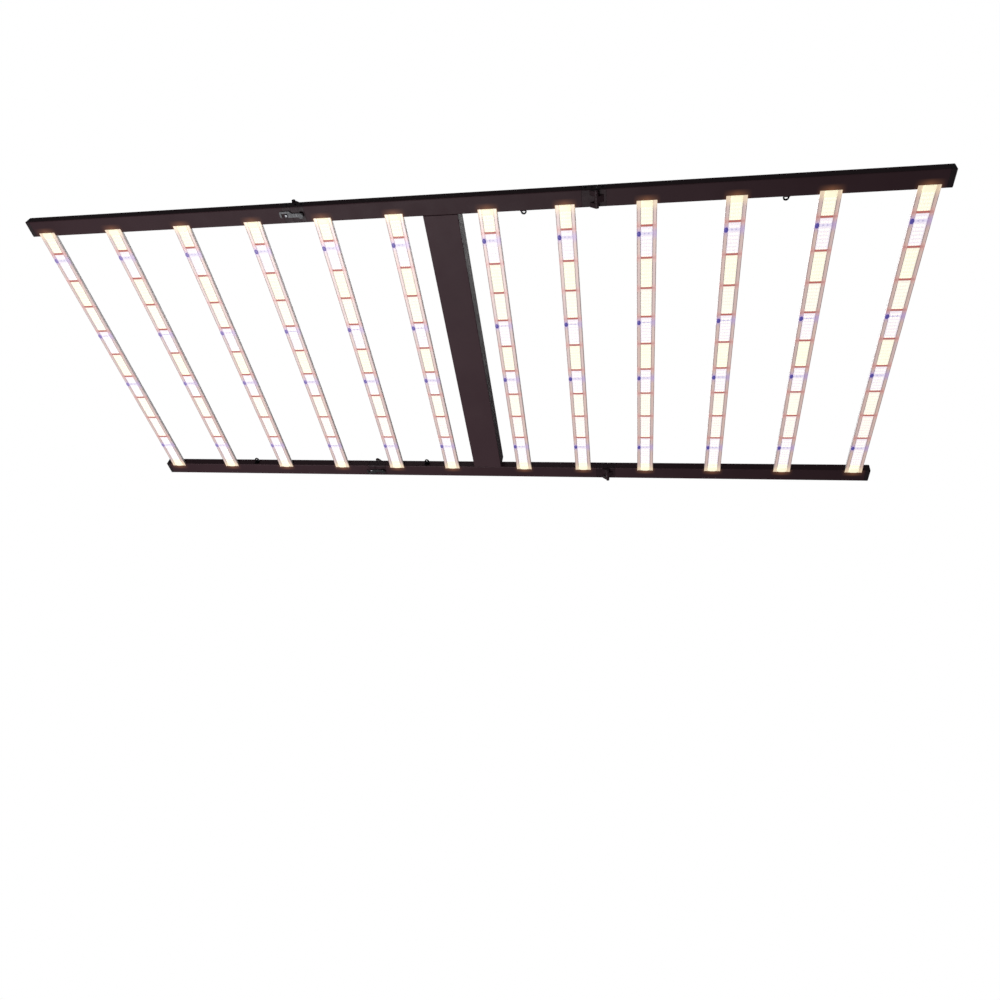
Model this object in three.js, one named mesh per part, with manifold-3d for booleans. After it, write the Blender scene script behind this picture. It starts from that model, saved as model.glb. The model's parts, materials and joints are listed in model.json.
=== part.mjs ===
// A folding LED grow light: twelve light bars in three sections, on two long rails with hinges.
// Millimetres, +Z up, as it hangs: the LEDs face down, the rails run along X and the bars along Y.
// The model is laid out with z = 0 in the plane of the LED faces, then lowered so that the origin
// is the centre of the driver housing's lid.
import * as THREE from "three";
import { mergeVertices } from "three/addons/utils/BufferGeometryUtils.js";
import Module from "manifold-3d";

const wasm = await Module();
wasm.setup();

// Driving dimensions
const OVERALL_LENGTH = 2236; // along X, over the end caps
const OVERALL_WIDTH = 910; // along Y, over the rails
const FOLD_X = 372; // each fold line's distance from the centre
const BAR_PITCH = 196; // between the bars of a wing
const CENTRE_BARS_X = [115, 298]; // centre section's bars, each side of the housing
const FIRST_WING_BAR_X = 484;
const WING_BARS = 4;
const GAP = 0.3; // left between pieces that touch

const RAIL = { width: 42, height: 26, wall: 2, corner: 2.5 };
const BAR = { width: 46, edge: 8, height: 18, intoRail: 9 };
const HOUSING = { width: 86, top: 46, wall: 2, lid: 1.7 };
const BLOCK = { onCentre: 34, onWing: 22, plug: 14 };
const PIN = { below: 6, radius: 2.5, knuckle: 5, arm: 16, headRadius: 4.5, headLength: 3 };
const CAP = { length: 12, chamfer: 2, plug: 8 };
const CORNER_STEPS = 1;
const ROUND_STEPS = 10;

const RAIL_INNER_Y = OVERALL_WIDTH / 2 - RAIL.width;
const RAIL_MID_Y = OVERALL_WIDTH / 2 - RAIL.width / 2;
const END_X = OVERALL_LENGTH / 2;
const BAR_HALF_LENGTH = RAIL_INNER_Y + BAR.intoRail;

const sides = [
  ["near", -1],
  ["far", 1],
];
const wings = [
  ["left", -1],
  ["right", 1],
];

const finish = {
  rail: { color: 0x3b2b2e, roughness: 0.45, metalness: 0.6 },
  bar: { color: 0xc9c6c8, roughness: 0.4, metalness: 0.9 },
  light: { color: 0xfff4dc, roughness: 0.3, metalness: 0 },
  housing: { color: 0x33282b, roughness: 0.5, metalness: 0.5 },
  driver: { color: 0x8f9296, roughness: 0.5, metalness: 0.7 },
  hinge: { color: 0x1d191a, roughness: 0.5, metalness: 0.4 },
  steel: { color: 0xb9bcc0, roughness: 0.3, metalness: 1 },
  blackSteel: { color: 0x222022, roughness: 0.4, metalness: 0.9 },
  plastic: { color: 0x161616, roughness: 0.55, metalness: 0 },
};

const ascending = (a, b) => a - b;

const light = new THREE.Group();
light.position.z = -HOUSING.top;

function add(name, material, geometry, parent = light) {
  const mesh = new THREE.Mesh(geometry, new THREE.MeshStandardMaterial(finish[material]));
  mesh.name = name;
  parent.add(mesh);
}

// Booleans

function toSolid(geometry) {
  const bare = geometry.clone();
  bare.deleteAttribute("normal");
  bare.deleteAttribute("uv");
  const merged = mergeVertices(bare, 1e-4);
  return new wasm.Manifold(
    new wasm.Mesh({
      numProp: 3,
      vertProperties: new Float32Array(merged.attributes.position.array),
      triVerts: new Uint32Array(merged.index.array),
    }),
  );
}

function toGeometry(solid) {
  const { vertProperties, triVerts } = solid.getMesh();
  const geometry = new THREE.BufferGeometry();
  geometry.setAttribute("position", new THREE.BufferAttribute(vertProperties, 3));
  geometry.setIndex(new THREE.BufferAttribute(triVerts, 1));
  return geometry;
}

const join = (...parts) => toGeometry(parts.map(toSolid).reduce((a, b) => a.add(b)));
const cut = (body, ...tools) =>
  toGeometry(tools.map(toSolid).reduce((a, b) => a.subtract(b), toSolid(body)));
const common = (...parts) => toGeometry(parts.map(toSolid).reduce((a, b) => a.intersect(b)));

// Basic shapes, each given by its limits

function box([x0, x1], [y0, y1], [z0, z1]) {
  const low = new THREE.Vector3(Math.min(x0, x1), Math.min(y0, y1), Math.min(z0, z1));
  const high = new THREE.Vector3(Math.max(x0, x1), Math.max(y0, y1), Math.max(z0, z1));
  const size = high.clone().sub(low);
  const middle = low.add(high).multiplyScalar(0.5);
  return new THREE.BoxGeometry(size.x, size.y, size.z).translate(middle.x, middle.y, middle.z);
}

function outline(points) {
  return new THREE.Shape(points.map(([x, y]) => new THREE.Vector2(x, y)));
}

function roundedRectangle([x0, x1], [y0, y1], r) {
  return new THREE.Shape()
    .moveTo(x0 + r, y0)
    .lineTo(x1 - r, y0)
    .absarc(x1 - r, y0 + r, r, -Math.PI / 2, 0)
    .lineTo(x1, y1 - r)
    .absarc(x1 - r, y1 - r, r, 0, Math.PI / 2)
    .lineTo(x0 + r, y1)
    .absarc(x0 + r, y1 - r, r, Math.PI / 2, Math.PI)
    .lineTo(x0, y0 + r)
    .absarc(x0 + r, y0 + r, r, Math.PI, 1.5 * Math.PI);
}

function disc(radius, x = 0, y = 0) {
  return new THREE.Shape().absarc(x, y, radius, 0, 2 * Math.PI);
}

function extrude(shape, [from, to], steps) {
  const options = { depth: Math.abs(to - from), bevelEnabled: false, curveSegments: steps };
  return new THREE.ExtrudeGeometry(shape, options).translate(0, 0, Math.min(from, to));
}

// A section in (y, z) run along X, one in (x, z) run along Y, and one in (x, y) run along Z
const turnToX = new THREE.Matrix4().set(0, 0, 1, 0, 1, 0, 0, 0, 0, 1, 0, 0, 0, 0, 0, 1);
const alongX = (shape, span, steps = CORNER_STEPS) => extrude(shape, span, steps).applyMatrix4(turnToX);
const alongY = (shape, [from, to], steps = CORNER_STEPS) =>
  extrude(shape, [-to, -from], steps).rotateX(Math.PI / 2);
const alongZ = (shape, span, steps = CORNER_STEPS) => extrude(shape, span, steps);

// Rails: rectangular tubes, with a pocket in the inner wall for each bar's end

function railSection(side, inset = 0) {
  const y0 = side * RAIL_MID_Y - RAIL.width / 2 + inset;
  const y1 = side * RAIL_MID_Y + RAIL.width / 2 - inset;
  return roundedRectangle([y0, y1], [inset, RAIL.height - inset], RAIL.corner - inset / 2);
}

function barPocket(x, side) {
  const half = BAR.width / 2 + GAP;
  const reach = [side * (RAIL_INNER_Y - 1), side * (BAR_HALF_LENGTH + GAP)];
  return box([x - half, x + half], reach, [-1, BAR.height + GAP]);
}

function rail(span, side, barsX) {
  const bore = alongX(railSection(side, RAIL.wall), [span[0] - 1, span[1] + 1]);
  return cut(alongX(railSection(side), span), bore, ...barsX.map((x) => barPocket(x, side)));
}

// Light bars: a finned aluminium profile with the light strip let into its face. Each flange
// beside the strip has a shallow groove between two ridges, and a low wall along its outer edge.

const STRIP_SEAT = { half: 13.6, depth: 3.2 };

function barProfile() {
  const half = BAR.width / 2;
  const plate = 5.6; // top of the plate behind the strip
  const wall = 2;
  const ridge = 1.5;
  const groove = 1;
  const finHalf = 0.8;
  const fins = [-10.6, -3.5, 3.5, 10.6].flatMap((x) => [
    [x - finHalf, plate],
    [x - finHalf, BAR.height],
    [x + finHalf, BAR.height],
    [x + finHalf, plate],
  ]);
  const leftSide = [
    [-STRIP_SEAT.half, STRIP_SEAT.depth],
    [-STRIP_SEAT.half, 0],
    [-STRIP_SEAT.half - ridge, 0],
    [-STRIP_SEAT.half - ridge, groove],
    [-half + wall, groove],
    [-half + wall, 0],
    [-half + 1, 0],
    [-half, 1],
    [-half, BAR.edge],
    [-half + wall, BAR.edge],
    [-half + wall, plate],
  ];
  const rightSide = leftSide.map(([x, z]) => [-x, z]).reverse();
  return outline([...leftSide, ...fins, ...rightSide].reverse());
}

function stripProfile() {
  const half = STRIP_SEAT.half - GAP;
  const seat = STRIP_SEAT.depth - GAP;
  return outline([
    [half, seat],
    [-half, seat],
    [-half, 1],
    [-half / 2, 0.5],
    [half / 2, 0.5],
    [half, 1],
  ]);
}

function addBar(number, x) {
  const span = [-BAR_HALF_LENGTH, BAR_HALF_LENGTH];
  add(`bar_${number}_profile`, "bar", alongY(barProfile(), span).translate(x, 0, 0));
  add(`bar_${number}_light_strip`, "light", alongY(stripProfile(), span).translate(x, 0, 0));
}

// Driver housing: a tray, its lid, two drivers, and what is fitted to the lid

const INLET = { y: -352, half: [13.5, 9.5], flange: [25, 13.5], depth: 18 };
const SOCKET = { y: -306, half: [8, 7], flange: [11, 10], depth: 14 };
const KNOB = { y: -262, radius: 11, height: 13, shaft: 3 };
const HALF_HOUSING = HOUSING.width / 2;
const TRAY_HALF_LENGTH = RAIL_INNER_Y - GAP;
const LID_BOTTOM = HOUSING.top - HOUSING.lid;

function driverTray() {
  const reach = [-TRAY_HALF_LENGTH, TRAY_HALF_LENGTH];
  const inner = TRAY_HALF_LENGTH - HOUSING.wall;
  const section = roundedRectangle([-HALF_HOUSING, HALF_HOUSING], [0, LID_BOTTOM - GAP], 1.5);
  const hollow = HALF_HOUSING - HOUSING.wall;
  return cut(
    alongY(section, reach),
    box([-hollow, hollow], [-inner, inner], [HOUSING.wall, HOUSING.top]),
  );
}

function around(part, clearance = 0) {
  const [x, y] = part.half;
  return [
    [-x - clearance, x + clearance],
    [part.y - y - clearance, part.y + y + clearance],
  ];
}

function driverLid() {
  const reach = [-TRAY_HALF_LENGTH, TRAY_HALF_LENGTH];
  const through = [LID_BOTTOM - 1, HOUSING.top + 1];
  return cut(
    box([-HALF_HOUSING, HALF_HOUSING], reach, [LID_BOTTOM, HOUSING.top]),
    box(...around(INLET, GAP), through),
    box(...around(SOCKET, GAP), through),
    alongZ(disc(KNOB.shaft + GAP, 0, KNOB.y), through, ROUND_STEPS / 2),
  );
}

// A flanged socket with an open cavity, standing through the lid
function socketBody(part) {
  const flangeTop = HOUSING.top + GAP + 1.8;
  const bottom = HOUSING.top - part.depth;
  const [flangeX, flangeY] = part.flange;
  const wall = 2;
  return cut(
    join(
      alongZ(
        roundedRectangle([-flangeX, flangeX], [part.y - flangeY, part.y + flangeY], 3),
        [HOUSING.top + GAP, flangeTop],
      ),
      box(...around(part), [bottom, HOUSING.top + 1]),
    ),
    box(...around(part, -wall), [bottom + wall, flangeTop + 1]),
  );
}

function mainsInlet() {
  const floor = HOUSING.top - INLET.depth;
  const blades = [
    [-7, -2.5],
    [0, 2.5],
    [7, -2.5],
  ].map(([x, y]) => box([x - 1, x + 1], [INLET.y + y - 2, INLET.y + y + 2], [floor + 1, floor + 11]));
  return join(socketBody(INLET), ...blades);
}

function dimmerKnob() {
  const bottom = HOUSING.top + 0.6;
  const top = bottom + KNOB.height;
  const profile = [
    [0, HOUSING.top - 5],
    [KNOB.shaft, HOUSING.top - 5],
    [KNOB.shaft, bottom],
    [KNOB.radius, bottom],
    [KNOB.radius - 1, top - 1.5],
    [KNOB.radius - 2.5, top],
    [0, top],
  ].map(([r, z]) => new THREE.Vector2(r, z));
  const turned = new THREE.LatheGeometry(profile, 2 * ROUND_STEPS).rotateX(Math.PI / 2);
  const body = turned.translate(0, KNOB.y, 0);
  const pointer = box([-0.8, 0.8], [KNOB.y + 2, KNOB.y + KNOB.radius], [top - 1, top + 1]);
  return cut(body, pointer);
}

function addHousing() {
  const driver = { half: 34, bottom: 2.6, top: 37, from: 12, to: 288 };
  add("driver_tray", "housing", driverTray());
  add("driver_lid", "housing", driverLid());
  add("mains_inlet", "plastic", mainsInlet());
  add("control_socket", "plastic", socketBody(SOCKET));
  add("dimmer_knob", "plastic", dimmerKnob());
  const section = roundedRectangle([-driver.half, driver.half], [driver.bottom, driver.top], 4);
  for (const [name, side] of sides) {
    const span = [side * driver.from, side * driver.to].sort(ascending);
    add(`${name}_driver`, "driver", alongY(section, span));
  }
}

// Hinges, drawn for the right-hand fold: x runs from the fold line to the wing, the pin is below
// the LED faces and the latch is on the back. The left-hand fold is the same, turned over.

function plug([x0, x1], side) {
  return alongX(railSection(side, RAIL.wall + GAP), [x0, x1]);
}

// A barrel round the pin with a sloping arm that joins it to its block
function knuckle(towards, span) {
  const arm = outline([
    [0, 1],
    [towards * PIN.arm, 1],
    [towards * PIN.arm, -1],
    [towards * 0.6 * PIN.knuckle, -PIN.below - 0.8 * PIN.knuckle],
    [0, -PIN.below],
  ]);
  return [alongY(disc(PIN.knuckle, 0, -PIN.below), span, ROUND_STEPS), alongY(arm, span)];
}

const KNUCKLE_HALF = 8; // half the width of the wing's knuckle, between the two on the centre block
const OUTER_KNUCKLE = RAIL.width / 2 - 1;

function centreBlock(side) {
  const y = side * RAIL_MID_Y;
  const inner = KNUCKLE_HALF + 0.4;
  const outerEnd = y + side * (OUTER_KNUCKLE + PIN.headLength);
  const pinSpan = [y - side * OUTER_KNUCKLE, outerEnd].sort(ascending);
  const headSpan = [y + side * (OUTER_KNUCKLE - 1), outerEnd].sort(ascending);
  return join(
    alongX(railSection(side), [-BLOCK.onCentre, -GAP]),
    plug([-BLOCK.onCentre - BLOCK.plug, -BLOCK.onCentre + 1], side),
    ...knuckle(-1, [y - OUTER_KNUCKLE, y - inner]),
    ...knuckle(-1, [y + inner, y + OUTER_KNUCKLE]),
    alongY(disc(PIN.radius, 0, -PIN.below), pinSpan, ROUND_STEPS / 2),
    alongY(disc(PIN.headRadius, 0, -PIN.below), headSpan, ROUND_STEPS),
  );
}

function wingBlock(side) {
  const y = side * RAIL_MID_Y;
  const reach = [y - KNUCKLE_HALF, y + KNUCKLE_HALF];
  const through = [reach[0] - 1, reach[1] + 1];
  const bore = alongY(disc(PIN.radius + GAP, 0, -PIN.below), through, ROUND_STEPS / 2);
  return join(
    alongX(railSection(side), [GAP, BLOCK.onWing]),
    plug([BLOCK.onWing - 1, BLOCK.onWing + BLOCK.plug], side),
    cut(join(...knuckle(1, reach)), bore),
    alongZ(disc(STUD.radius, STUD.x, y), [RAIL.height - 1, STUD.top], ROUND_STEPS),
  );
}

// The latch: a flat hook on a round pivot screw, closed round the wing's button stud.
// Its mouth is an arc about the pivot, open on the inner side, and longer than the stud,
// so that the stud can tilt out of it as the wing folds.

const STUD = { x: 15, radius: 4, top: RAIL.height + 3 };
const HOOK = { pivotX: -24, thickness: 2.5, lift: 0.4, halfWidth: 5, screwRadius: 7.5, screw: 3.5 };

function latchHook(side) {
  const mouth = { from: 34.4, to: 50, end: 55 };
  const bridge = { inner: 5.6, outer: 11 };
  const bottom = RAIL.height + HOOK.lift;
  const top = bottom + HOOK.thickness;
  const shape = outline(
    [
      [0, -HOOK.halfWidth],
      [mouth.from, -HOOK.halfWidth],
      [mouth.from, bridge.inner],
      [mouth.to, bridge.inner],
      [mouth.to, -HOOK.halfWidth],
      [mouth.end - 2, -HOOK.halfWidth],
      [mouth.end, -HOOK.halfWidth + 2],
      [mouth.end, bridge.outer - 3],
      [mouth.end - 3, bridge.outer],
      [mouth.from - 6, bridge.outer],
      [mouth.from - 12, HOOK.halfWidth],
      [0, HOOK.halfWidth],
    ].map(([x, y]) => [x, side * y]),
  );
  const arm = alongZ(shape, [bottom, top]);
  const eye = alongZ(disc(HOOK.screwRadius - 1), [bottom, top], ROUND_STEPS);
  const screw = alongZ(disc(HOOK.screwRadius), [top - 0.5, top + HOOK.screw], ROUND_STEPS);
  return join(arm, eye, screw).translate(HOOK.pivotX, side * RAIL_MID_Y, 0);
}

function addHinge(name, side, parent) {
  add(`${name}_centre_hinge_block`, "hinge", centreBlock(side), parent);
  add(`${name}_wing_hinge_block`, "hinge", wingBlock(side), parent);
  add(`${name}_latch_hook`, "steel", latchHook(side), parent);
}

// End cap of a wing's rail, with its outer edges chamfered

function endCap(side) {
  const [from, to] = [END_X - CAP.length, END_X];
  const y = side * RAIL_MID_Y;
  const half = RAIL.width / 2;
  const c = CAP.chamfer;
  const plan = outline([
    [from, y - half],
    [to - c, y - half],
    [to, y - half + c],
    [to, y + half - c],
    [to - c, y + half],
    [from, y + half],
  ]);
  const elevation = outline([
    [from, 0],
    [to - c, 0],
    [to, c],
    [to, RAIL.height - c],
    [to - c, RAIL.height],
    [from, RAIL.height],
  ]);
  return join(
    common(
      alongX(railSection(side), [from, to]),
      alongZ(plan, [-1, RAIL.height + 1]),
      alongY(elevation, [y - half - 1, y + half + 1]),
    ),
    plug([from - CAP.plug, from + 1], side),
  );
}

// Hanging eye: a plate on the rail's inner face with a tab that the hanger's hook goes through

const EYE = { halfWidth: 7, reach: 15, hole: 3.5, bottom: 4, tab: [13.5, 16.5], plate: 2.2 };

function hangingEye(x, side) {
  const face = RAIL_INNER_Y - GAP;
  const tip = face - EYE.reach;
  const tab = new THREE.Shape()
    .moveTo(-EYE.halfWidth, face)
    .lineTo(-EYE.halfWidth, tip + EYE.halfWidth)
    .absarc(0, tip + EYE.halfWidth, EYE.halfWidth, Math.PI, 2 * Math.PI)
    .lineTo(EYE.halfWidth, face);
  tab.holes.push(disc(EYE.hole, 0, tip + EYE.halfWidth));
  const plate = box([-EYE.halfWidth, EYE.halfWidth], [face - EYE.plate, face], [EYE.bottom, EYE.tab[1]]);
  const eye = join(alongZ(tab, EYE.tab, ROUND_STEPS / 2), plate);
  return eye.rotateZ(side > 0 ? 0 : Math.PI).translate(x, 0, 0);
}

// Assembly

// The four eyes: on the near rail right of the centre, and on the far rail left of it
const EYE_X = { wing: 786, centre: 199 };
const wingBarsX = Array.from({ length: WING_BARS }, (_, i) => FIRST_WING_BAR_X + i * BAR_PITCH);
const barsX = [...wingBarsX, ...CENTRE_BARS_X].flatMap((x) => [-x, x]).sort(ascending);

barsX.forEach((x, i) => addBar(i + 1, x));
addHousing();

for (const [sideName, side] of sides) {
  const reach = FOLD_X - BLOCK.onCentre - GAP;
  const centreBars = CENTRE_BARS_X.flatMap((x) => [-x, x]);
  add(`centre_${sideName}_rail`, "rail", rail([-reach, reach], side, centreBars));
  add(`centre_${sideName}_eye`, "blackSteel", hangingEye(-side * EYE_X.centre, side));
}

for (const [wingName, wing] of wings) {
  const fold = new THREE.Group();
  if (wing > 0) {
    fold.position.x = FOLD_X;
  } else {
    fold.position.set(-FOLD_X, 0, RAIL.height);
    fold.rotation.y = Math.PI;
  }
  light.add(fold);
  for (const [sideName, side] of sides) {
    const name = `${wingName}_${sideName}`;
    const span = [FOLD_X + BLOCK.onWing + GAP, END_X - CAP.length - GAP];
    const [from, to] = span.map((x) => wing * x).sort(ascending);
    add(`${name}_rail`, "rail", rail([from, to], side, wingBarsX.map((x) => wing * x)));
    if (wing === -side) {
      add(`${name}_eye`, "blackSteel", hangingEye(wing * EYE_X.wing, side));
    }
    addHinge(name, side, fold);
    const cap = endCap(wing * side).rotateZ(wing > 0 ? 0 : Math.PI);
    add(`${name}_end_cap`, "plastic", cap);
  }
}

export default light;
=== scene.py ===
"""Looks of a folding LED grow light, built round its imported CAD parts, in their frame.

Lengths are in metres and +Z is up. The light hangs with its LEDs facing down. Each light bar gets
its circuit board, diodes and clear cover in place of the plain CAD strip, and the other CAD parts
get rounded edges, materials, screws and fittings."""

import json
import math

import bmesh
import bpy
from mathutils import Matrix, Quaternion, Vector


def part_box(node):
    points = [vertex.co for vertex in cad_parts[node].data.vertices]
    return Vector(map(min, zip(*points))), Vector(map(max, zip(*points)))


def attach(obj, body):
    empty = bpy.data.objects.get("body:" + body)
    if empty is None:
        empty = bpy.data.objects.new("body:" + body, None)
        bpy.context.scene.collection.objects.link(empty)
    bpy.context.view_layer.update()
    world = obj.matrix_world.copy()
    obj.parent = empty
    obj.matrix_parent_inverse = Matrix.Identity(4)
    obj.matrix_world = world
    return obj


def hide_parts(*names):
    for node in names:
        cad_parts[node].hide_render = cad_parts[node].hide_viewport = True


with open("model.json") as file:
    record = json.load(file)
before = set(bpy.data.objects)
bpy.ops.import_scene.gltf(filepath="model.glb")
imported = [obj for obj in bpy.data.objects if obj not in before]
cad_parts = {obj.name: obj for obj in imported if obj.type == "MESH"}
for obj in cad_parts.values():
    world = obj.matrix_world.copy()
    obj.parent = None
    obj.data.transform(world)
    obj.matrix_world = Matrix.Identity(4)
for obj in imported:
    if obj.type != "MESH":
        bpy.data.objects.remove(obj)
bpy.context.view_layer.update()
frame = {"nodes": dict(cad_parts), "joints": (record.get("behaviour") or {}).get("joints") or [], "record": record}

MM = 0.001
NODES = frame["nodes"]
BODY_OF = {n: body for body, members in frame["record"]["behaviour"]["bodies"].items() for n in members}
SLOT_OF = {s["node"]: s["material_slot"] for s in frame["record"]["subparts"]}
SIDES = (("near", -1), ("far", 1))
WINGS = (("left", -1), ("right", 1))
LATCH_FACE = {"left": -1, "right": 1}  # the latches of the left fold are below, on the LED side
BARS = range(1, 13)
JOINT_PLACE = {j["name"]: Vector(j["pos_m"]) for j in frame["joints"]}

# Places on the CAD parts
BAR_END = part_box("bar_1_profile")[1].y
FACE_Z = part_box("bar_1_profile")[0].z
RAIL_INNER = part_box("centre_far_rail")[0].y
RAIL_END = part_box("right_far_end_cap")[1].x
RAIL_MIDDLE_Z = (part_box("centre_near_rail")[0].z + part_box("centre_near_rail")[1].z) / 2
BAR_XS = [(low.x + high.x) / 2 for low, high in (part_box(f"bar_{n}_profile") for n in range(7, 13))]

# Light bars: what repeats along one, measured along Y from the middle of the bar
CELL = 81.6 * MM  # between two rows of red diodes
FIRST_RED_ROW = -362 * MM
RED_ROWS = [FIRST_RED_ROW + CELL * k for k in range(9)]
BLUE_ROWS = [y * MM for y in (-342, -100, 76, 328)]
WHITE_PITCH = 9.067 * MM
BOARD = 1.2 * MM  # thickness
COVER = 0.6 * MM  # thickness

# How a row of red diodes shows: half its width, and how far its edge fades
RED_LINE = (2.0 * MM, 1.6 * MM)
RED_HALO = (1.5 * MM, 12 * MM)

# Colours of the light in the strip, and of the light painted on the flanges beside it and on the rails at its ends
WARM = (0.77, 0.73, 0.58)
PALE = (0.75, 0.70, 0.62)
COOL = (0.71, 0.65, 0.71)
PINK = (0.75, 0.66, 0.65)
END_GLOW = (0.80, 0.74, 0.50)
RIDGE_GLOW = (0.10, 0.065, 0.072)
RIDGE_GLOW_WARM = (0.16, 0.085, 0.070)
GROOVE_GLOW = (0.44, 0.315, 0.30)
GROOVE_GLOW_WARM = (0.49, 0.33, 0.27)
HALO_GLOW = (0.50, 0.20, 0.165)
RED_LIGHT_ON_FLANGE = (0.32, 0.10, 0.09)
BLUE_LIGHT_ON_FLANGE = (0.27, 0.18, 0.48)
END_LIGHT_ON_FLANGE = (0.62, 0.47, 0.30)
RED_ROW_GLOW = (0.34, 0.12, 0.11)
RED_ROW_UNLIT = (0.26, 0.12, 0.11)
BLUE_ROW_GLOW = (0.22, 0.19, 0.55)
# painted light: the bars' warm light on the rails round their ends
PAINTED_BAR_END_LIGHT = (0.30, 0.12, 0.05)
BLACK, WHITE = (0, 0, 0), (1, 1, 1)

# The powder coats' two shades
RAIL_DARK, RAIL_LIGHT = (0.050, 0.023, 0.029), (0.060, 0.029, 0.036)
HOUSING_DARK, HOUSING_LIGHT = (0.066, 0.034, 0.042), (0.076, 0.041, 0.049)

# Radii of the screw heads, and how high a flush one is as a part of its radius
LID_SCREW = 3.2 * MM
RAIL_SCREW = 3.4 * MM
CAP_SCREW = 3.4 * MM
BLOCK_SCREW = 2.8 * MM
INLET_SCREW = 2.7 * MM
FLUSH = 0.09


# Camera, light and floor

def make_camera():
    place = Vector((0.511, -1.246, -1.779))
    aim = Vector((0.020, 0.562, -0.046))
    roll = 11.5
    data = bpy.data.cameras.new("camera")
    data.lens = 28.2
    data.clip_start = 0.05
    camera = bpy.data.objects.new("camera", data)
    bpy.context.scene.collection.objects.link(camera)
    camera.location = place
    camera.rotation_mode = "QUATERNION"
    upright = (aim - place).to_track_quat("-Z", "Y")
    camera.rotation_quaternion = upright @ Quaternion((0, 0, 1), math.radians(roll))
    bpy.context.scene.camera = camera


def area_light(name, place, aim, size, power):
    data = bpy.data.lights.new(name, "AREA")
    data.shape = "RECTANGLE"
    data.size, data.size_y = size
    data.energy = power
    lamp = bpy.data.objects.new(name, data)
    bpy.context.scene.collection.objects.link(lamp)
    lamp.location = place
    lamp.rotation_mode = "QUATERNION"
    lamp.rotation_quaternion = (Vector(aim) - Vector(place)).to_track_quat("-Z", "Y")
    lamp.visible_camera = False


def make_world():
    """White to the camera, and dim as a source of light, so that dark finishes keep their depth."""
    world = bpy.data.worlds.new("studio")
    bpy.context.scene.world = world
    world.use_nodes = True
    tree = world.node_tree
    tree.nodes.clear()
    seen = tree.nodes.new("ShaderNodeBackground")
    seen.inputs["Color"].default_value = (1, 1, 1, 1)
    lighting = tree.nodes.new("ShaderNodeBackground")
    lighting.inputs["Color"].default_value = (0.95, 0.97, 1, 1)
    lighting.inputs["Strength"].default_value = 0.10
    ray = tree.nodes.new("ShaderNodeLightPath")
    mix = tree.nodes.new("ShaderNodeMixShader")
    out = tree.nodes.new("ShaderNodeOutputWorld")
    tree.links.new(ray.outputs["Is Camera Ray"], mix.inputs["Fac"])
    tree.links.new(lighting.outputs[0], mix.inputs[1])
    tree.links.new(seen.outputs[0], mix.inputs[2])
    tree.links.new(mix.outputs[0], out.inputs["Surface"])


def make_stage():
    """Pale floor that the camera sees, but that doesn't light the part from below."""
    floor_z = -2.75
    half = 60
    mesh = bpy.data.meshes.new("floor")
    corners = [(half * x, half * y, floor_z) for x, y in ((-1, -1), (1, -1), (1, 1), (-1, 1))]
    mesh.from_pydata(corners, [], [(0, 1, 2, 3)])
    floor = bpy.data.objects.new("floor", mesh)
    bpy.context.scene.collection.objects.link(floor)
    finish = Finish("studio_floor", (0.82, 0.82, 0.81), roughness=0.9)
    finish.vary_color(finish.noise(0.7, 3), (0.80, 0.80, 0.79), (0.84, 0.84, 0.83))
    finish.emit(WHITE, 0.45)
    mesh.materials.append(finish.material)
    floor.visible_diffuse = False
    floor.visible_glossy = False


def make_studio():
    make_world()
    make_stage()
    area_light("below", (-1.1, 0.1, -2.6), (-1.1, 0.1, 0), (2.2, 2.0), 46)
    area_light("above", (-0.6, 0.9, 2.4), (0, 0, 0), (2.6, 2.2), 60)
    area_light("behind", (-1.6, 2.6, 0.9), (0, 0, 0), (2.0, 1.2), 24)
    settings = bpy.context.scene.view_settings
    settings.view_transform = "Standard"
    settings.look = "None"


# Materials

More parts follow.
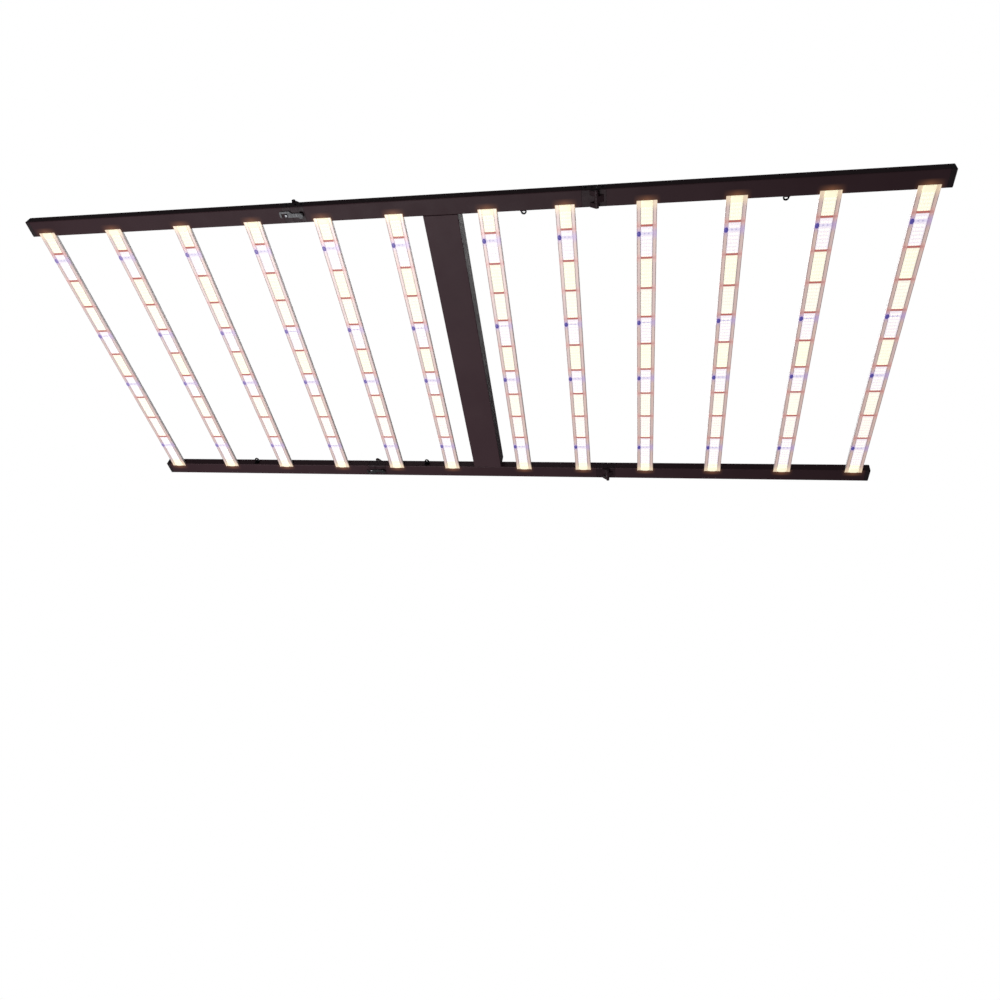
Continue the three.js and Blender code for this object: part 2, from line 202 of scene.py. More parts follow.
class Finish:
    """A Principled material and the few nodes that its pattern needs."""

    def __init__(self, name, color, metallic=0.0, roughness=0.5, **sockets):
        self.material = bpy.data.materials.new(name)
        self.material.use_nodes = True
        self.tree = self.material.node_tree
        self.shader = self.tree.nodes["Principled BSDF"]
        self.shader.inputs["Base Color"].default_value = (*color, 1)
        self.shader.inputs["Metallic"].default_value = metallic
        self.shader.inputs["Roughness"].default_value = roughness
        for socket, value in sockets.items():
            self.shader.inputs[socket.replace("_", " ")].default_value = value
        self.place = self.node("ShaderNodeTexCoord").outputs["Object"]

    def node(self, kind, **settings):
        made = self.tree.nodes.new(kind)
        for name, value in settings.items():
            setattr(made, name, value)
        return made

    def link(self, source, target):
        self.tree.links.new(source, target)

    def put(self, target, value):
        if isinstance(value, (int, float, tuple)):
            target.default_value = value
        else:
            self.link(value, target)

    def stretched(self, x, y, z):
        """The place with its axes scaled: a pattern runs along the axis with the smallest scale."""
        mapping = self.node("ShaderNodeMapping")
        mapping.inputs["Scale"].default_value = (x, y, z)
        self.link(self.place, mapping.inputs["Vector"])
        return mapping.outputs["Vector"]

    def noise(self, scale, detail=2.0, vector=None):
        made = self.node("ShaderNodeTexNoise")
        made.inputs["Scale"].default_value = scale
        made.inputs["Detail"].default_value = detail
        self.link(vector or self.place, made.inputs["Vector"])
        return made.outputs["Fac"]

    def grains(self, scale):
        made = self.node("ShaderNodeTexVoronoi")
        made.inputs["Scale"].default_value = scale
        self.link(self.place, made.inputs["Vector"])
        return made.outputs["Distance"]

    def spread(self, value, low, high, from_low=0.3, from_high=0.7):
        """Maps from_low..from_high, which is at first a noise's middle range, to low..high."""
        made = self.node("ShaderNodeMapRange")
        made.inputs["From Min"].default_value = from_low
        made.inputs["From Max"].default_value = from_high
        made.inputs["To Min"].default_value = low
        made.inputs["To Max"].default_value = high
        self.link(value, made.inputs["Value"])
        return made.outputs["Result"]

    def math(self, operation, *values):
        made = self.node("ShaderNodeMath", operation=operation)
        for socket, value in zip(made.inputs, values):
            self.put(socket, value)
        return made.outputs["Value"]

    def mix(self, factor, a, b):
        made = self.node("ShaderNodeMix", data_type="RGBA")
        self.put(made.inputs["Factor"], factor)
        for socket, value in ((made.inputs[6], a), (made.inputs[7], b)):
            self.put(socket, (*value, 1) if isinstance(value, tuple) else value)
        return made.outputs[2]

    def ramp(self, factor, stops, interpolation="LINEAR"):
        made = self.node("ShaderNodeValToRGB")
        made.color_ramp.interpolation = interpolation
        elements = made.color_ramp.elements
        while len(elements) < len(stops):
            elements.new(0.5)
        for element, (position, _) in zip(elements, stops):
            element.position = position
        for element, (_, color) in zip(elements, stops):
            element.color = (*color, 1)
        self.link(factor, made.inputs["Fac"])
        return made.outputs["Color"]

    def vary_color(self, factor, a, b):
        self.link(self.mix(self.spread(factor, 0, 1), a, b), self.shader.inputs["Base Color"])

    def vary_roughness(self, factor, low, high):
        self.link(self.spread(factor, low, high), self.shader.inputs["Roughness"])

    def bump(self, height, depth):
        """Bump of the given depth in millimetres."""
        made = self.node("ShaderNodeBump")
        made.inputs["Strength"].default_value = 1.0
        made.inputs["Distance"].default_value = depth * MM
        self.link(height, made.inputs["Height"])
        self.link(made.outputs["Normal"], self.shader.inputs["Normal"])

    def axis(self, name):
        made = self.node("ShaderNodeSeparateXYZ")
        self.link(self.place, made.inputs["Vector"])
        return made.outputs[name]

    def emit(self, color, strength=1.0):
        value = (*color, 1) if isinstance(color, tuple) else color
        self.put(self.shader.inputs["Emission Color"], value)
        self.shader.inputs["Emission Strength"].default_value = strength


def powder_coat(name, dark, light, with_painted_bar_end_light=False):
    """Satin powder coat: a fine orange-peel surface, slightly cloudy, and, where asked, the light of the bars'
    ends painted on as emission.
    """
    f = Finish(name, dark, roughness=0.5, Specular_IOR_Level=0.2)
    f.vary_color(f.noise(9, 4), dark, light)
    f.vary_roughness(f.noise(25, 3), 0.48, 0.56)
    f.bump(f.noise(1500, 2), 0.06)
    # Painted light: the warm light that each bar's end throws on the rail's LED face, given as emission.
    if with_painted_bar_end_light:
        f.emit(f.mix(painted_bar_end_light(f), BLACK, PAINTED_BAR_END_LIGHT))
    return f.material


def moulded(name, color, roughness):
    """Moulded plastic with a fine spark-eroded texture."""
    f = Finish(name, color, roughness=roughness, Specular_IOR_Level=0.35)
    lighter = tuple(1.5 * c + 0.004 for c in color)
    f.vary_color(f.noise(40, 3), color, lighter)
    f.vary_roughness(f.noise(60, 2), roughness - 0.07, roughness + 0.08)
    f.bump(f.noise(2200, 2), 0.03)
    return f.material


def cast_metal(name, color):
    """Coated zinc casting: a slightly uneven skin under a satin coat."""
    f = Finish(name, color, roughness=0.42, Specular_IOR_Level=0.3)
    lighter = tuple(1.5 * c + 0.002 for c in color)
    f.vary_color(f.noise(70, 4), color, lighter)
    f.vary_roughness(f.noise(120, 3), 0.36, 0.56)
    f.bump(f.noise(420, 4), 0.12)
    return f.material


def plated(name, dark, light, roughness):
    """Zinc-plated steel with the soft patches of its plating and fine rolling marks."""
    f = Finish(name, light, metallic=1.0, roughness=roughness)
    f.vary_color(f.grains(260), light, dark)
    f.vary_roughness(f.noise(300, 3, f.stretched(1, 0.15, 1)), roughness - 0.08, roughness + 0.1)
    f.bump(f.noise(1800, 2, f.stretched(1, 0.1, 1)), 0.012)
    return f.material


def red_rows(f, half_width, fade):
    """1 at each row of red diodes, falling to 0 past half_width, along Y."""
    y = f.axis("Y")
    shifted = f.math("SUBTRACT", y, FIRST_RED_ROW - CELL / 2)
    within = f.math("FLOORED_MODULO", shifted, CELL)
    distance = f.math("ABSOLUTE", f.math("SUBTRACT", within, CELL / 2))
    near = f.spread(distance, 1, 0, half_width, half_width + fade)
    middle = (RED_ROWS[0] + RED_ROWS[-1]) / 2
    reach = (RED_ROWS[-1] - RED_ROWS[0]) / 2 + 0.25 * CELL
    on_board = f.math("LESS_THAN", f.math("ABSOLUTE", f.math("SUBTRACT", y, middle)), reach)
    return f.math("MULTIPLY", near, on_board)


def along_bar(f):
    """0 to 1 along the bar, for a ramp whose stops are given by ramp_place."""
    return f.spread(f.axis("Y"), 0, 1, -BAR_END, BAR_END)


def ramp_place(y):
    return (y + BAR_END) / (2 * BAR_END)


def blue_glow(f, reach):
    """White where a row of blue diodes is, and black further off than reach."""
    stops = [(0, BLACK)]
    for y in BLUE_ROWS:
        stops.append((ramp_place(y - reach), BLACK))
        stops.append((ramp_place(y), WHITE))
        stops.append((ramp_place(y + reach), BLACK))
    return f.ramp(along_bar(f), stops, "EASE")


def on_led_face(f, depth):
    """1 on what lies within depth of the plane of the LED faces."""
    return f.math("LESS_THAN", f.axis("Z"), FACE_Z + depth)


def painted_bar_end_light(f):
    """1 on the rail's LED face at the end of each bar, fading round it: where the bar's light is painted on the
    rail.
    """
    reach_along, reach_across = 30 * MM, 24 * MM
    stops = [(0, BLACK)]
    for x in BAR_XS:
        stops.append(((x - reach_along) / RAIL_END, BLACK))
        stops.append((x / RAIL_END, WHITE))
        stops.append(((x + reach_along) / RAIL_END, BLACK))
    across = f.ramp(f.spread(f.math("ABSOLUTE", f.axis("X")), 0, 1, 0, RAIL_END), stops)
    outward = f.spread(f.math("ABSOLUTE", f.axis("Y")), 1, 0, RAIL_INNER, RAIL_INNER + reach_across)
    return f.math("MULTIPLY", f.math("MULTIPLY", across, outward), on_led_face(f, 0.8 * MM))


def bar_metal():
    """Anodised extrusion with drawing lines along it, with the diodes' light beside the strip painted on as
    emission.
    """
    f = Finish("anodised_bar", (0.55, 0.53, 0.54), metallic=0.6, roughness=0.45)
    streaks = f.noise(900, 3, f.stretched(1, 0.012, 1))
    f.vary_color(streaks, (0.47, 0.45, 0.46), (0.58, 0.56, 0.57))
    f.vary_roughness(f.noise(500, 2, f.stretched(1, 0.02, 1)), 0.36, 0.52)
    f.bump(streaks, 0.02)
    # Painted light on the LED face: the diodes' light on the flange's ridges and groove, the red and blue rows'
    # light, and warm light near the bar's ends.
    ridge = f.mix(f.spread(f.noise(14, 2), 0, 1), RIDGE_GLOW, RIDGE_GLOW_WARM)
    groove = f.mix(f.spread(f.noise(11, 2), 0, 1), GROOVE_GLOW, GROOVE_GLOW_WARM)
    flange = f.mix(on_led_face(f, 0.5 * MM), groove, ridge)
    halo = f.mix(f.math("MULTIPLY", red_rows(f, *RED_HALO), 0.75), flange, HALO_GLOW)
    red = f.mix(f.math("MULTIPLY", red_rows(f, *RED_LINE), 0.5), halo, RED_LIGHT_ON_FLANGE)
    blue = f.mix(f.math("MULTIPLY", blue_glow(f, 20 * MM), 0.65), red, BLUE_LIGHT_ON_FLANGE)
    from_end = f.math("SUBTRACT", BAR_END, f.math("ABSOLUTE", f.axis("Y")))
    tint = f.mix(f.spread(from_end, 1, 0, 8 * MM, 26 * MM), blue, END_LIGHT_ON_FLANGE)
    f.emit(f.mix(on_led_face(f, 1.4 * MM), BLACK, tint))
    return f.material


def cell_light(f):
    """The colour of the light along a bar: warm at its ends, and cool where there are blue diodes."""
    colors = [WARM, COOL, WARM, PALE, COOL, WARM, COOL, PALE, PINK, COOL]
    stops = [(0, END_GLOW), (ramp_place(-BAR_END + 16 * MM), colors[0])]
    stops += [(ramp_place(y), color) for y, color in zip(RED_ROWS, colors[1:])]
    stops += [(ramp_place(BAR_END - 30 * MM), WARM), (ramp_place(BAR_END - 14 * MM), END_GLOW)]
    return f.ramp(along_bar(f), stops, "CONSTANT")


def light_up(f, unlit, strength):
    """Colours a surface of the light strip, with the red rows as lines and the blue rows as a tint."""
    red_row = red_rows(f, *RED_LINE)
    f.link(f.mix(red_row, unlit, RED_ROW_UNLIT), f.shader.inputs["Base Color"])
    blue = f.math("MULTIPLY", blue_glow(f, 7 * MM), 0.35)
    tinted = f.mix(blue, cell_light(f), BLUE_ROW_GLOW)
    f.emit(f.mix(red_row, tinted, RED_ROW_GLOW), strength)


def board_white():
    """White circuit board, lit by its diodes."""
    f = Finish("board_white", (0.85, 0.85, 0.83), roughness=0.5)
    f.vary_roughness(f.noise(200, 2), 0.4, 0.6)
    f.bump(f.noise(700, 2), 0.02)
    light_up(f, (0.60, 0.60, 0.58), 0.72)
    return f.material


def clear_cover():
    """Clear extruded cover, slightly milky with the light in it."""
    f = Finish("clear_cover", (0.9, 0.9, 0.9), roughness=0.18, Alpha=0.4)
    f.vary_roughness(f.noise(300, 2, f.stretched(1, 0.05, 1)), 0.12, 0.26)
    f.bump(f.noise(500, 2, f.stretched(1, 0.02, 1)), 0.02)
    light_up(f, (0.38, 0.38, 0.38), 1.0)
    return f.material


def glowing(name, color, strength, base=(0.8, 0.7, 0.3)):
    f = Finish(name, base, roughness=0.3)
    f.emit(f.mix(f.spread(f.noise(900, 2), 0, 1), color, tuple(0.86 * c for c in color)), strength)
    f.bump(f.noise(1200, 2), 0.02)
    return f.material


def blue_diode():
    """Deep blue dome, which the pale light round it washes out towards the left-hand end."""
    f = Finish("blue_diode", (0.06, 0.05, 0.18), roughness=0.3)
    washed = f.spread(f.axis("X"), 1, 0, -0.75, 0.25)
    f.emit(f.mix(washed, (0.07, 0.055, 0.26), (0.24, 0.18, 0.40)))
    f.bump(f.noise(1200, 2), 0.02)
    return f.material


def printed_white():
    f = Finish("printed_white", (0.75, 0.75, 0.73), roughness=0.6)
    f.vary_color(f.noise(900, 2), (0.66, 0.66, 0.64), (0.80, 0.80, 0.78))
    return f.material


MATERIALS = {
    "rail_finish": powder_coat("rail_powder_coat", RAIL_DARK, RAIL_LIGHT, with_painted_bar_end_light=True),
    "housing_finish": powder_coat("housing_powder_coat", HOUSING_DARK, HOUSING_LIGHT),
    "bar_aluminium": bar_metal(),
    "light_strip": board_white(),
    "driver_case": plated("driver_case", (0.42, 0.42, 0.44), (0.55, 0.55, 0.57), 0.45),
    "hinge_casting": cast_metal("hinge_casting", (0.026, 0.011, 0.015)),
    "steel": plated("dull_zinc_plate", (0.085, 0.085, 0.088), (0.11, 0.11, 0.115), 0.42),
    "bright_steel": plated("bright_zinc_plate", (0.30, 0.30, 0.32), (0.44, 0.44, 0.46), 0.36),
    "black_steel": plated("black_zinc", (0.012, 0.012, 0.014), (0.03, 0.028, 0.032), 0.4),
    "cap_plastic": moulded("cap_plastic", (0.020, 0.012, 0.014), 0.5),
    "black_plastic": moulded("black_plastic", (0.014, 0.014, 0.015), 0.45),
    "cover": clear_cover(),
    "white_diode": glowing("white_diode", (1.0, 0.92, 0.62), 1.7),
    "red_diode": glowing("red_diode", (0.50, 0.09, 0.07), 0.9, (0.35, 0.07, 0.06)),
    "blue_diode": blue_diode(),
    "end_glow": glowing("end_glow", (1.0, 0.93, 0.68), 0.85, (0.7, 0.66, 0.5)),
    "brass": plated("contact_brass", (0.62, 0.42, 0.16), (0.80, 0.58, 0.26), 0.28),
    "printed": printed_white(),
}


# Mesh code: outlines are lists of (x, y), and a solid is lofted through outlines at heights

ROUND_STEPS = 24


def rectangle(half_x, half_y, corner=0.0, steps=3):
    """Outline of a rectangle round the origin, its corners rounded."""
    if not corner:
        return [(-half_x, -half_y), (half_x, -half_y), (half_x, half_y), (-half_x, half_y)]
    points = []
    for i, (sx, sy) in enumerate(((1, -1), (1, 1), (-1, 1), (-1, -1))):
        for k in range(steps + 1):
            angle = math.radians(-90 + 90 * i + 90 * k / steps)
            x = sx * (half_x - corner) + corner * math.cos(angle)
            y = sy * (half_y - corner) + corner * math.sin(angle)
            points.append((x, y))
    return points


def circle(radius):
    turns = [2 * math.pi / ROUND_STEPS * i for i in range(ROUND_STEPS)]
    return [(radius * math.cos(a), radius * math.sin(a)) for a in turns]


def oval(half_width, stretch=1.3):
    """A circle drawn out along Y."""
    return [(x, stretch * y) for x, y in circle(half_width)]


def scaled(outline, factor):
    return [(factor * x, factor * y) for x, y in outline]


def at(x, y=0.0, z=0.0):
    return Matrix.Translation((x, y, z))


def facing(place, direction, turn=0.0):
    """Matrix that puts local +Z along direction at place."""
    rotation = Vector(direction).to_track_quat("Z", "Y").to_matrix().to_4x4()
    return Matrix.Translation(Vector(place)) @ rotation @ Matrix.Rotation(turn, 4, "Z")


def loft(bm, levels, place=None, ring_shaped=False):
    """A closed solid through (outline, height) levels. A ring-shaped one has no end faces."""
    place = place or Matrix()
    rings = [[bm.verts.new(place @ Vector((x, y, z))) for x, y in outline] for outline, z in levels]
    pairs = list(zip(rings, rings[1:]))
    if ring_shaped:
        pairs.append((rings[-1], rings[0]))
    else:
        bm.faces.new(rings[0][::-1])
        bm.faces.new(rings[-1])
    for low, high in pairs:
        for i in range(len(low)):
            j = (i + 1) % len(low)
            bm.faces.new((low[i], low[j], high[j], high[i]))


def smooth(mesh, limit=35):
    """Shades a mesh smooth, but for its edges sharper than the limit."""
    for polygon in mesh.polygons:
        polygon.use_smooth = True
    bm = bmesh.new()
    bm.from_mesh(mesh)
    for edge in bm.edges:
        edge.smooth = len(edge.link_faces) == 2 and edge.calc_face_angle(0) < math.radians(limit)
    bm.to_mesh(mesh)
    bm.free()


def piece(name, bm, finish, body, stands_for=()):
    """Turns the mesh code's result into a piece that rides on a body."""
    bmesh.ops.recalc_face_normals(bm, faces=bm.faces)
    mesh = bpy.data.meshes.new(name)
    bm.to_mesh(mesh)
    bm.free()
    smooth(mesh)
    made = bpy.data.objects.new(name, mesh)
    bpy.context.scene.collection.objects.link(made)
    mesh.materials.append(MATERIALS[finish])
    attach(made, body)
    if stands_for:
        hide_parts(*stands_for)


# CAD nodes that stay: rounded edges and their materials

EDGE = {  # width of the bevel, in millimetres
    "rail_finish": 0.5,
    "housing_finish": 0.5,
    "bar_aluminium": 0.25,
    "hinge_casting": 0.5,
    "steel": 0.35,
    "black_steel": 0.4,
    "cap_plastic": 0.5,
    "black_plastic": 0.4,
    "driver_case": 0.8,
}


def finish_cad_nodes():
    for name, node in NODES.items():
        slot = SLOT_OF[name]
        node.data.materials.clear()
        node.data.materials.append(MATERIALS[slot])
        if slot not in EDGE:
            continue
        weld = node.modifiers.new("weld", "WELD")
        weld.merge_threshold = 0.005 * MM
        bevel = node.modifiers.new("rounded_edges", "BEVEL")
        bevel.width = EDGE[slot] * MM
        bevel.segments = 2
        bevel.limit_method = "ANGLE"
        bevel.angle_limit = math.radians(38)
        bevel.harden_normals = True


# Light strips

class Strip:
    """Where a bar's light strip is: its middle along X, half its size, its LED face and its back."""

    def __init__(self, number):
        low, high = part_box(f"bar_{number}_light_strip")
        self.x = (low.x + high.x) / 2
        self.half_width = (high.x - low.x) / 2
        self.half_length = high.y
        self.face = low.z
        self.back = high.z
        self.mount = high.z - BOARD  # the board's surface that the diodes stand on


def make_board(number, body):
    strip = Strip(number)
    bm = bmesh.new()
    outline = rectangle(strip.half_width - 0.3 * MM, strip.half_length - 0.4 * MM, 1.5 * MM)
    loft(bm, [(outline, strip.mount), (outline, strip.back)], at(strip.x))
    piece(f"bar_{number}_board", bm, "light_strip", body, [f"bar_{number}_light_strip"])


def add_package(bm, x, y, z, half_x, half_y, height):
    """A diode package under the board: a base with a raised window, sides drawn in."""
    outline = rectangle(half_x, half_y)
    levels = [(outline, 0), (outline, -0.75 * height), (scaled(outline, 0.72), -height)]
    loft(bm, levels, at(x, y, z))


def white_rows():
    """Places along Y of the white diodes' rows, leaving room for the red and blue rows."""
    count = int(2 * (BAR_END - 12 * MM) / WHITE_PITCH)
    rows = [(i - (count - 1) / 2) * WHITE_PITCH for i in range(count)]
    return [y for y in rows if all(abs(y - taken) > 4.2 * MM for taken in RED_ROWS + BLUE_ROWS)]


def make_diodes(number, body):
    """The white diodes, four to a row, and the rows of four red ones."""
    strip = Strip(number)
    bm = bmesh.new()
    for y in white_rows():
        for across in (-8.1, -2.7, 2.7, 8.1):
            add_package(bm, strip.x + across * MM, y, strip.mount, 1.4 * MM, 1.75 * MM, 0.7 * MM)
    piece(f"bar_{number}_white_diodes", bm, "white_diode", body)
    bm = bmesh.new()
    for y in RED_ROWS:
        for across in (-9.3, -3.1, 3.1, 9.3):
            add_package(bm, strip.x + across * MM, y, strip.mount, 1.75 * MM, 1.75 * MM, 0.75 * MM)
    piece(f"bar_{number}_red_diodes", bm, "red_diode", body)


def make_blue_diodes(number, body):
    """Domed blue diodes set in the groove of the bar's left flange, and small ones across the board."""
    strip = Strip(number)
    bm = bmesh.new()
    stem, head, rise = 2.8 * MM, 4.9 * MM, 1.6 * MM
    lip = 1.1 * MM
    rim = lip + 0.5 * MM
    groove = -17.7 * MM
    levels = [(oval(stem), 0), (oval(stem), -lip), (oval(head), -lip), (oval(head), -rim)]
    for angle in (20, 40, 58, 74):
        a = math.radians(angle)
        levels.append((oval(head * math.cos(a)), -rim - rise * math.sin(a)))
    for y in BLUE_ROWS:
        loft(bm, levels, at(strip.x + groove, y, FACE_Z + 1.0 * MM))
        for across in (-4.6, 4.6):
            add_package(bm, strip.x + across * MM, y, strip.mount, 1.4 * MM, 1.4 * MM, 0.7 * MM)
    piece(f"bar_{number}_blue_diodes", bm, "blue_diode", body)


def cover_section(strip):
    """The cover's crowned outer side and its inner side, as lists of (x, z) that run opposite ways."""
    half, steps = strip.half_width, 8
    foot = strip.mount - 0.05 * MM
    crown = 0.5 * MM
    fractions = [-1 + 2 * i / steps for i in range(steps + 1)]
    outer = [(half * t, strip.face + crown * t * t) for t in fractions]
    inner = [((half - COVER) * t, strip.face + crown * t * t + COVER / 2) for t in fractions[::-1]]
    outer = [(-half, foot), *outer, (half, foot)]
    inner = [(half - COVER, foot), *inner, (-half + COVER, foot)]
    return outer, inner


def make_cover(number, body):
    """The clear cover: a thin crowned shell whose feet stand beside the diodes."""
    strip = Strip(number)
    outer, inner = cover_section(strip)
    along = strip.half_length - 0.2 * MM
    bm = bmesh.new()
    ends = []
    for y in (-along, along):
        ends.append([bm.verts.new((strip.x + x, y, z)) for x, z in outer + inner])
    count = len(ends[0])
    for i in range(count):
        j = (i + 1) % count
        bm.faces.new((ends[0][i], ends[0][j], ends[1][j], ends[1][i]))
    for ring in ends:
        for i in range(len(outer) - 1):
            bm.faces.new((ring[i], ring[i + 1], ring[count - 2 - i], ring[count - 1 - i]))
    piece(f"bar_{number}_cover", bm, "cover", body)


def make_end_lenses(number, body):
    """A low diffuser dome over the last diodes at each end of the bar."""
    strip = Strip(number)
    bm = bmesh.new()
    length, proud = 15 * MM, 2.2 * MM
    outline = rectangle(strip.half_width - 0.2 * MM, length / 2, 7.2 * MM, 5)
    shape = ((1.0, 0.0), (0.97, 0.45), (0.88, 0.75), (0.72, 0.92), (0.5, 1.0))
    levels = [(scaled(outline, factor), -proud * rise) for factor, rise in shape]
    for side in (-1, 1):
        middle = side * (strip.half_length - 0.3 * MM - length / 2)
        loft(bm, levels, at(strip.x, middle, strip.face + 0.1 * MM))
    piece(f"bar_{number}_end_lenses", bm, "end_glow", body)


def make_light_strips():
    for number in BARS:
        body = BODY_OF[f"bar_{number}_profile"]
        make_board(number, body)
        make_diodes(number, body)
        make_blue_diodes(number, body)
        make_cover(number, body)
        make_end_lenses(number, body)


# Screws and rivets

def cross_outline(arm, half_width):
    """Outline of a cross recess, with as many points as a screw's rim has."""
    corners = []
    for i in range(4):
        c, s = math.cos(math.pi / 2 * i), math.sin(math.pi / 2 * i)
        for u, v in ((arm, -half_width), (arm, half_width), (half_width, half_width)):
            corners.append((u * c - v * s, u * s + v * c))
    points = []
    for (x0, y0), (x1, y1) in zip(corners, corners[1:] + corners[:1]):
        points += [(x0, y0), ((x0 + x1) / 2, (y0 + y1) / 2)]
    return points[1:] + points[:1]


def add_screw(bm, place, direction, radius, turn=0.0, flatness=0.5):
    """A head with a cross recess, standing on a surface. Its height is flatness times its radius."""
    height = flatness * radius
    cross = cross_outline(0.58 * radius, 0.15 * radius)
    levels = [
        (circle(radius), 0),
        (circle(radius), 0.35 * height),
        (circle(0.93 * radius), 0.7 * height),
        (circle(0.76 * radius), height),
        (cross, height),
        (scaled(cross, 0.8), 0.4 * height),
    ]
    loft(bm, levels, facing(place, direction, turn))


def add_rivet(bm, place, direction, radius, height):
    """A domed head with a small flat on top."""
    levels = [(circle(radius), 0), (circle(radius), 0.25 * height)]
    last = math.radians(60)
    for angle in (20, 40, 60):
        a = math.radians(angle)
        rise = 0.25 + 0.75 * math.sin(a) / math.sin(last)
        levels.append((circle(radius * math.cos(a)), height * rise))
    loft(bm, levels, facing(place, direction))


def middle_x(node):
    low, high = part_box(node)
    return (low.x + high.x) / 2


def make_lid_screws():
    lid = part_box("driver_lid")[1]
    along = 6
    bm = bmesh.new()
    for side in (-1, 1):
        for k in range(along):
            place = (side * (lid.x - 6 * MM), (-0.94 + 1.88 * k / (along - 1)) * lid.y, lid.z)
            add_screw(bm, place, (0, 0, 1), LID_SCREW, 0.7 * k)
    piece("lid_screws", bm, "black_steel", "centre_section")


def make_rail_screws():
    """Two screws in the rails' backs for each bar's end, flush because a latch passes over some."""
    for section in ("left", "centre", "right"):
        for side_name, side in SIDES:
            rail = f"{section}_{side_name}_rail"
            low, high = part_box(rail)
            y = (low.y + high.y) / 2 - side * 8 * MM
            bm = bmesh.new()
            for number in BARS:
                x = middle_x(f"bar_{number}_profile")
                if low.x < x < high.x:
                    for offset in (-12, 12):
                        place = (x + offset * MM, y, high.z)
                        add_screw(bm, place, (0, 0, 1), RAIL_SCREW, 0.37 * number, FLUSH)
            piece(f"{rail}_screws", bm, "bright_steel", BODY_OF[rail])


def make_end_cap_screws():
    for wing, end in WINGS:
        for side_name, side in SIDES:
            cap = f"{wing}_{side_name}_end_cap"
            low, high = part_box(cap)
            x = high.x if end > 0 else low.x
            bm = bmesh.new()
            place = (x, (low.y + high.y) / 2, (low.z + high.z) / 2)
            add_screw(bm, place, (end, 0, 0), CAP_SCREW, 0.4)
            piece(f"{cap}_screw", bm, "black_steel", BODY_OF[cap])


def outer_face(node, side):
    """Place along Y of the face of a node that is furthest from the middle, on that side."""
    low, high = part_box(node)
    return side * max(abs(low.y), abs(high.y))


def make_pin_head(name, side, fold):
    block = f"{name}_centre_hinge_block"
    bm = bmesh.new()
    place = (fold.x, outer_face(block, side), fold.z)
    add_rivet(bm, place, (0, side, 0), 4.1 * MM, 1.1 * MM)
    piece(f"{name}_pin_head", bm, "black_steel", BODY_OF[block])


def make_block_screws(name, side, fold, offsets, turns, fixed_to):
    """Screws in a hinge block's outer face, at offsets in millimetres from the fold line."""
    face_y = outer_face(f"{name}_wing_hinge_block", side)
    bm = bmesh.new()
    for offset, turn in zip(offsets, turns):
        place = (fold.x + offset * MM, face_y, RAIL_MIDDLE_Z)
        add_screw(bm, place, (0, side, 0), BLOCK_SCREW, turn)
    plural = "s" if len(offsets) > 1 else ""
    body = BODY_OF[f"{name}_{fixed_to}_hinge_block"]
    piece(f"{name}_{fixed_to}_block_screw{plural}", bm, "black_steel", body)


def make_stud_dome(name, out, fold, latch_face):
    """The bright top of the button stud that the latch closes round."""
    block = f"{name}_wing_hinge_block"
    low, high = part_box(block)
    bm = bmesh.new()
    stud_z = low.z if latch_face < 0 else high.z
    place = (fold.x + out * 15 * MM, (low.y + high.y) / 2, stud_z)
    add_rivet(bm, place, (0, 0, latch_face), 3.9 * MM, 1.2 * MM)
    piece(f"{name}_stud_dome", bm, "bright_steel", BODY_OF[block])


def make_hinge_fasteners():
    for wing, out in WINGS:
        fold = JOINT_PLACE[f"{wing}_fold"]
        for side_name, side in SIDES:
            name = f"{wing}_{side_name}"
            make_pin_head(name, side, fold)
            make_block_screws(name, side, fold, (-11 * out, -26 * out), (3.3, 7.8), "centre")
            make_block_screws(name, side, fold, (13 * out,), (0.9,), "wing")
            make_stud_dome(name, out, fold, LATCH_FACE[wing])


def slot_outline(radius, half_width):
    """Outline of a screwdriver slot, with as many points as a circle has."""
    points = []
    for x, y in circle(radius):
        level = y / radius
        side = math.copysign(1, level) if abs(level) > 0.05 else 0
        points.append((x, side * half_width))
    return points


def make_latch_screws():
    """A low head with a screwdriver slot over each latch's pivot."""
    for wing, face in LATCH_FACE.items():
        for side_name, _ in SIDES:
            hook = f"{wing}_{side_name}_latch_hook"
            pivot = JOINT_PLACE[f"{wing}_{side_name}_latch_turn"]
            low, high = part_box(hook)
            outer_z = low.z if face < 0 else high.z
            slot = slot_outline(5.0 * MM, 0.6 * MM)
            levels = [
                (circle(6.8 * MM), 0),
                (circle(6.8 * MM), 0.4 * MM),
                (circle(6.1 * MM), 1.0 * MM),
                (slot, 1.0 * MM),
                (slot, 0.2 * MM),
            ]
            bm = bmesh.new()
            loft(bm, levels, facing((pivot.x, pivot.y, outer_z), (0, 0, face), 0.6))
            piece(f"{wing}_{side_name}_latch_screw", bm, "steel", BODY_OF[hook])


# What is fitted to the lid

def make_inlet_fittings():
    """Contact blades, a raised lip round the cavity, and the two flange screws."""
    low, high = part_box("mains_inlet")
    y = (low.y + high.y) / 2
    bm = bmesh.new()
    blade = rectangle(1.2 * MM, 2.2 * MM)
    levels = [(blade, 2.2 * MM), (blade, 10.6 * MM), (scaled(blade, 0.55), 11.6 * MM)]
    for x, offset in ((-7, -2.5), (0, 2.5), (7, -2.5)):
        loft(bm, levels, at(x * MM, y + offset * MM, low.z))
    piece("inlet_blades", bm, "brass", "centre_section")
    bm = bmesh.new()
    outer = rectangle(15 * MM, 11 * MM, 3 * MM)
    inner = rectangle(11.7 * MM, 7.7 * MM, 1.2 * MM)
    levels = [
        (outer, 0),
        (outer, 1.1 * MM),
        (scaled(outer, 0.96), 1.4 * MM),
        (scaled(inner, 1.05), 1.4 * MM),
        (inner, 0),
    ]
    loft(bm, levels, at(0, y, high.z - 0.3 * MM), ring_shaped=True)
    piece("inlet_lip", bm, "black_plastic", "centre_section")
    bm = bmesh.new()
    for side in (-1, 1):
        add_screw(bm, (side * 19.8 * MM, y, high.z), (0, 0, 1), INLET_SCREW, 0.5 * side)
    piece("inlet_screws", bm, "black_steel", "centre_section")


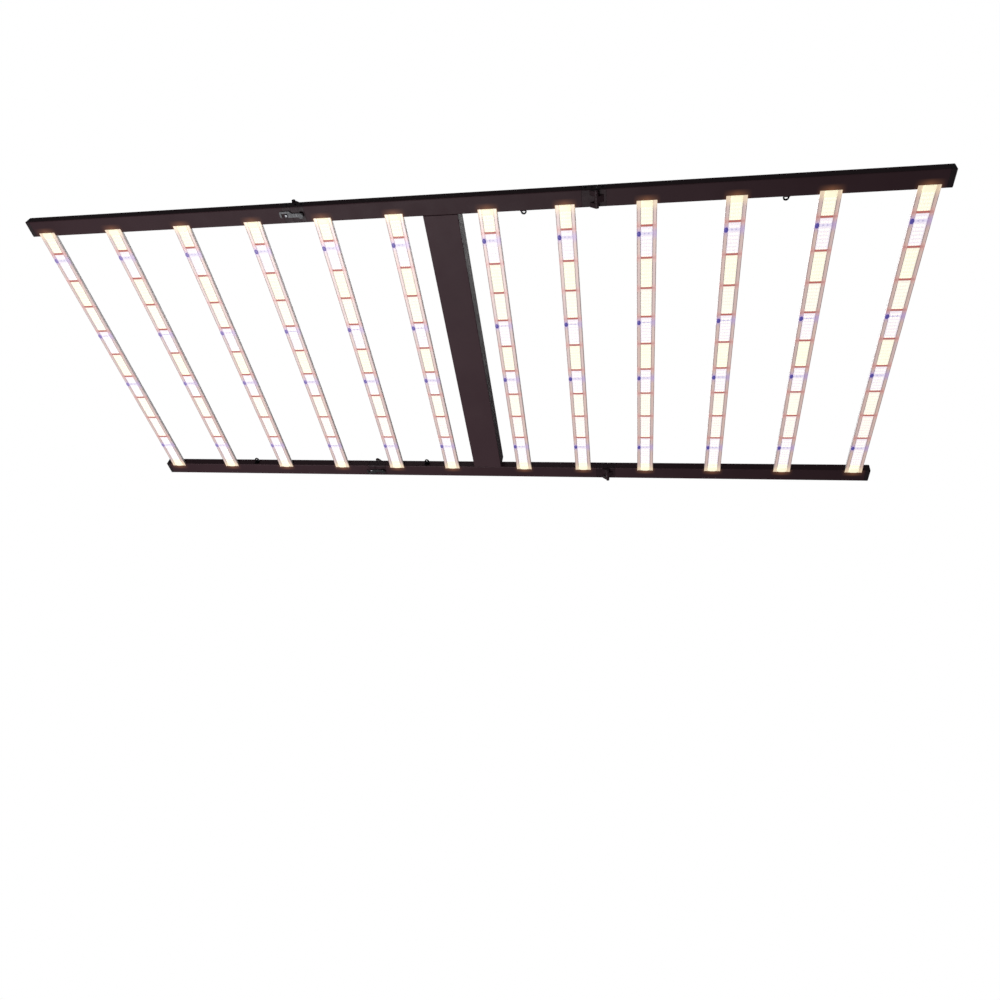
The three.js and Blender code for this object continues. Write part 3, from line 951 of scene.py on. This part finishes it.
def make_socket_contacts():
    """Eight sprung contacts that slope down into the control socket."""
    low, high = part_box("control_socket")
    y = (low.y + high.y) / 2
    pitch = 1.02 * MM
    wire = rectangle(0.22 * MM, 0.22 * MM, 0.08 * MM, 1)
    bm = bmesh.new()
    for k in range(8):
        start = ((k - 3.5) * pitch, y + 4.6 * MM, high.z - 5 * MM)
        loft(bm, [(wire, 0), (wire, 8 * MM)], facing(start, (0, -0.75, -0.66)))
    piece("control_socket_contacts", bm, "brass", "centre_section")


def knurled(radius, depth):
    """Outline of a round grip with rounded ribs."""
    ribs, steps = 36, 144
    points = []
    for i in range(steps):
        a = 2 * math.pi * i / steps
        r = radius - depth * (0.5 - 0.5 * math.cos(ribs * a))
        points.append((r * math.cos(a), r * math.sin(a)))
    return points


def make_knob():
    """A ribbed knob with a skirt and a dished top, and its white pointer."""
    low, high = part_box("dimmer_knob")
    pivot = JOINT_PLACE["dimmer_turn"]
    base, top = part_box("driver_lid")[1].z + 0.6 * MM, high.z
    turned = (  # radius, height, depth of the ribs
        (3, low.z, 0),
        (3, base, 0),
        (11, base, 0),
        (11, base + 1.6 * MM, 0),
        (10.4, base + 2.2 * MM, 0),
        (10.2, base + 2.6 * MM, 0.45),
        (9.8, top - 1.6 * MM, 0.45),
        (9.1, top - 0.5 * MM, 0.1),
        (8.4, top, 0),
        (7.6, top, 0),
        (6.6, top - 0.7 * MM, 0),
        (1.0, top - 0.8 * MM, 0),
    )
    levels = [(knurled(radius * MM, depth * MM), z) for radius, z, depth in turned]
    bm = bmesh.new()
    loft(bm, levels, at(pivot.x, pivot.y))
    piece("dimmer_grip", bm, "black_plastic", "dimmer", ["dimmer_knob"])
    bm = bmesh.new()
    bar = rectangle(0.7 * MM, 3.1 * MM, 0.3 * MM, 2)
    levels = [(bar, top - 1.1 * MM), (bar, top), (scaled(bar, 0.85), top + 0.25 * MM)]
    loft(bm, levels, at(pivot.x, pivot.y + 5.6 * MM))
    piece("dimmer_pointer", bm, "printed", "dimmer")


def make_dial_marks():
    """Eleven printed marks round the knob, from its rest position to the end of its travel."""
    pivot = JOINT_PLACE["dimmer_turn"]
    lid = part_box("driver_lid")[1].z
    travel = math.radians(290)
    marks = 11
    bm = bmesh.new()
    for k in range(marks):
        angle = math.pi / 2 - travel * k / (marks - 1)
        half_length = (1.0 + 0.14 * k) * MM
        tick = rectangle(half_length, 0.35 * MM, 0.15 * MM, 2)
        middle = 13.4 * MM + half_length
        place = at(pivot.x + middle * math.cos(angle), pivot.y + middle * math.sin(angle), lid)
        levels = [(tick, -0.02 * MM), (tick, 0.04 * MM), (scaled(tick, 0.97), 0.06 * MM)]
        loft(bm, levels, place @ Matrix.Rotation(angle, 4, "Z"))
    piece("dial_marks", bm, "printed", "centre_section")


make_camera()
make_studio()
finish_cad_nodes()
make_light_strips()
make_lid_screws()
make_rail_screws()
make_end_cap_screws()
make_hinge_fasteners()
make_latch_screws()
make_inlet_fittings()
make_socket_contacts()
make_knob()
make_dial_marks()
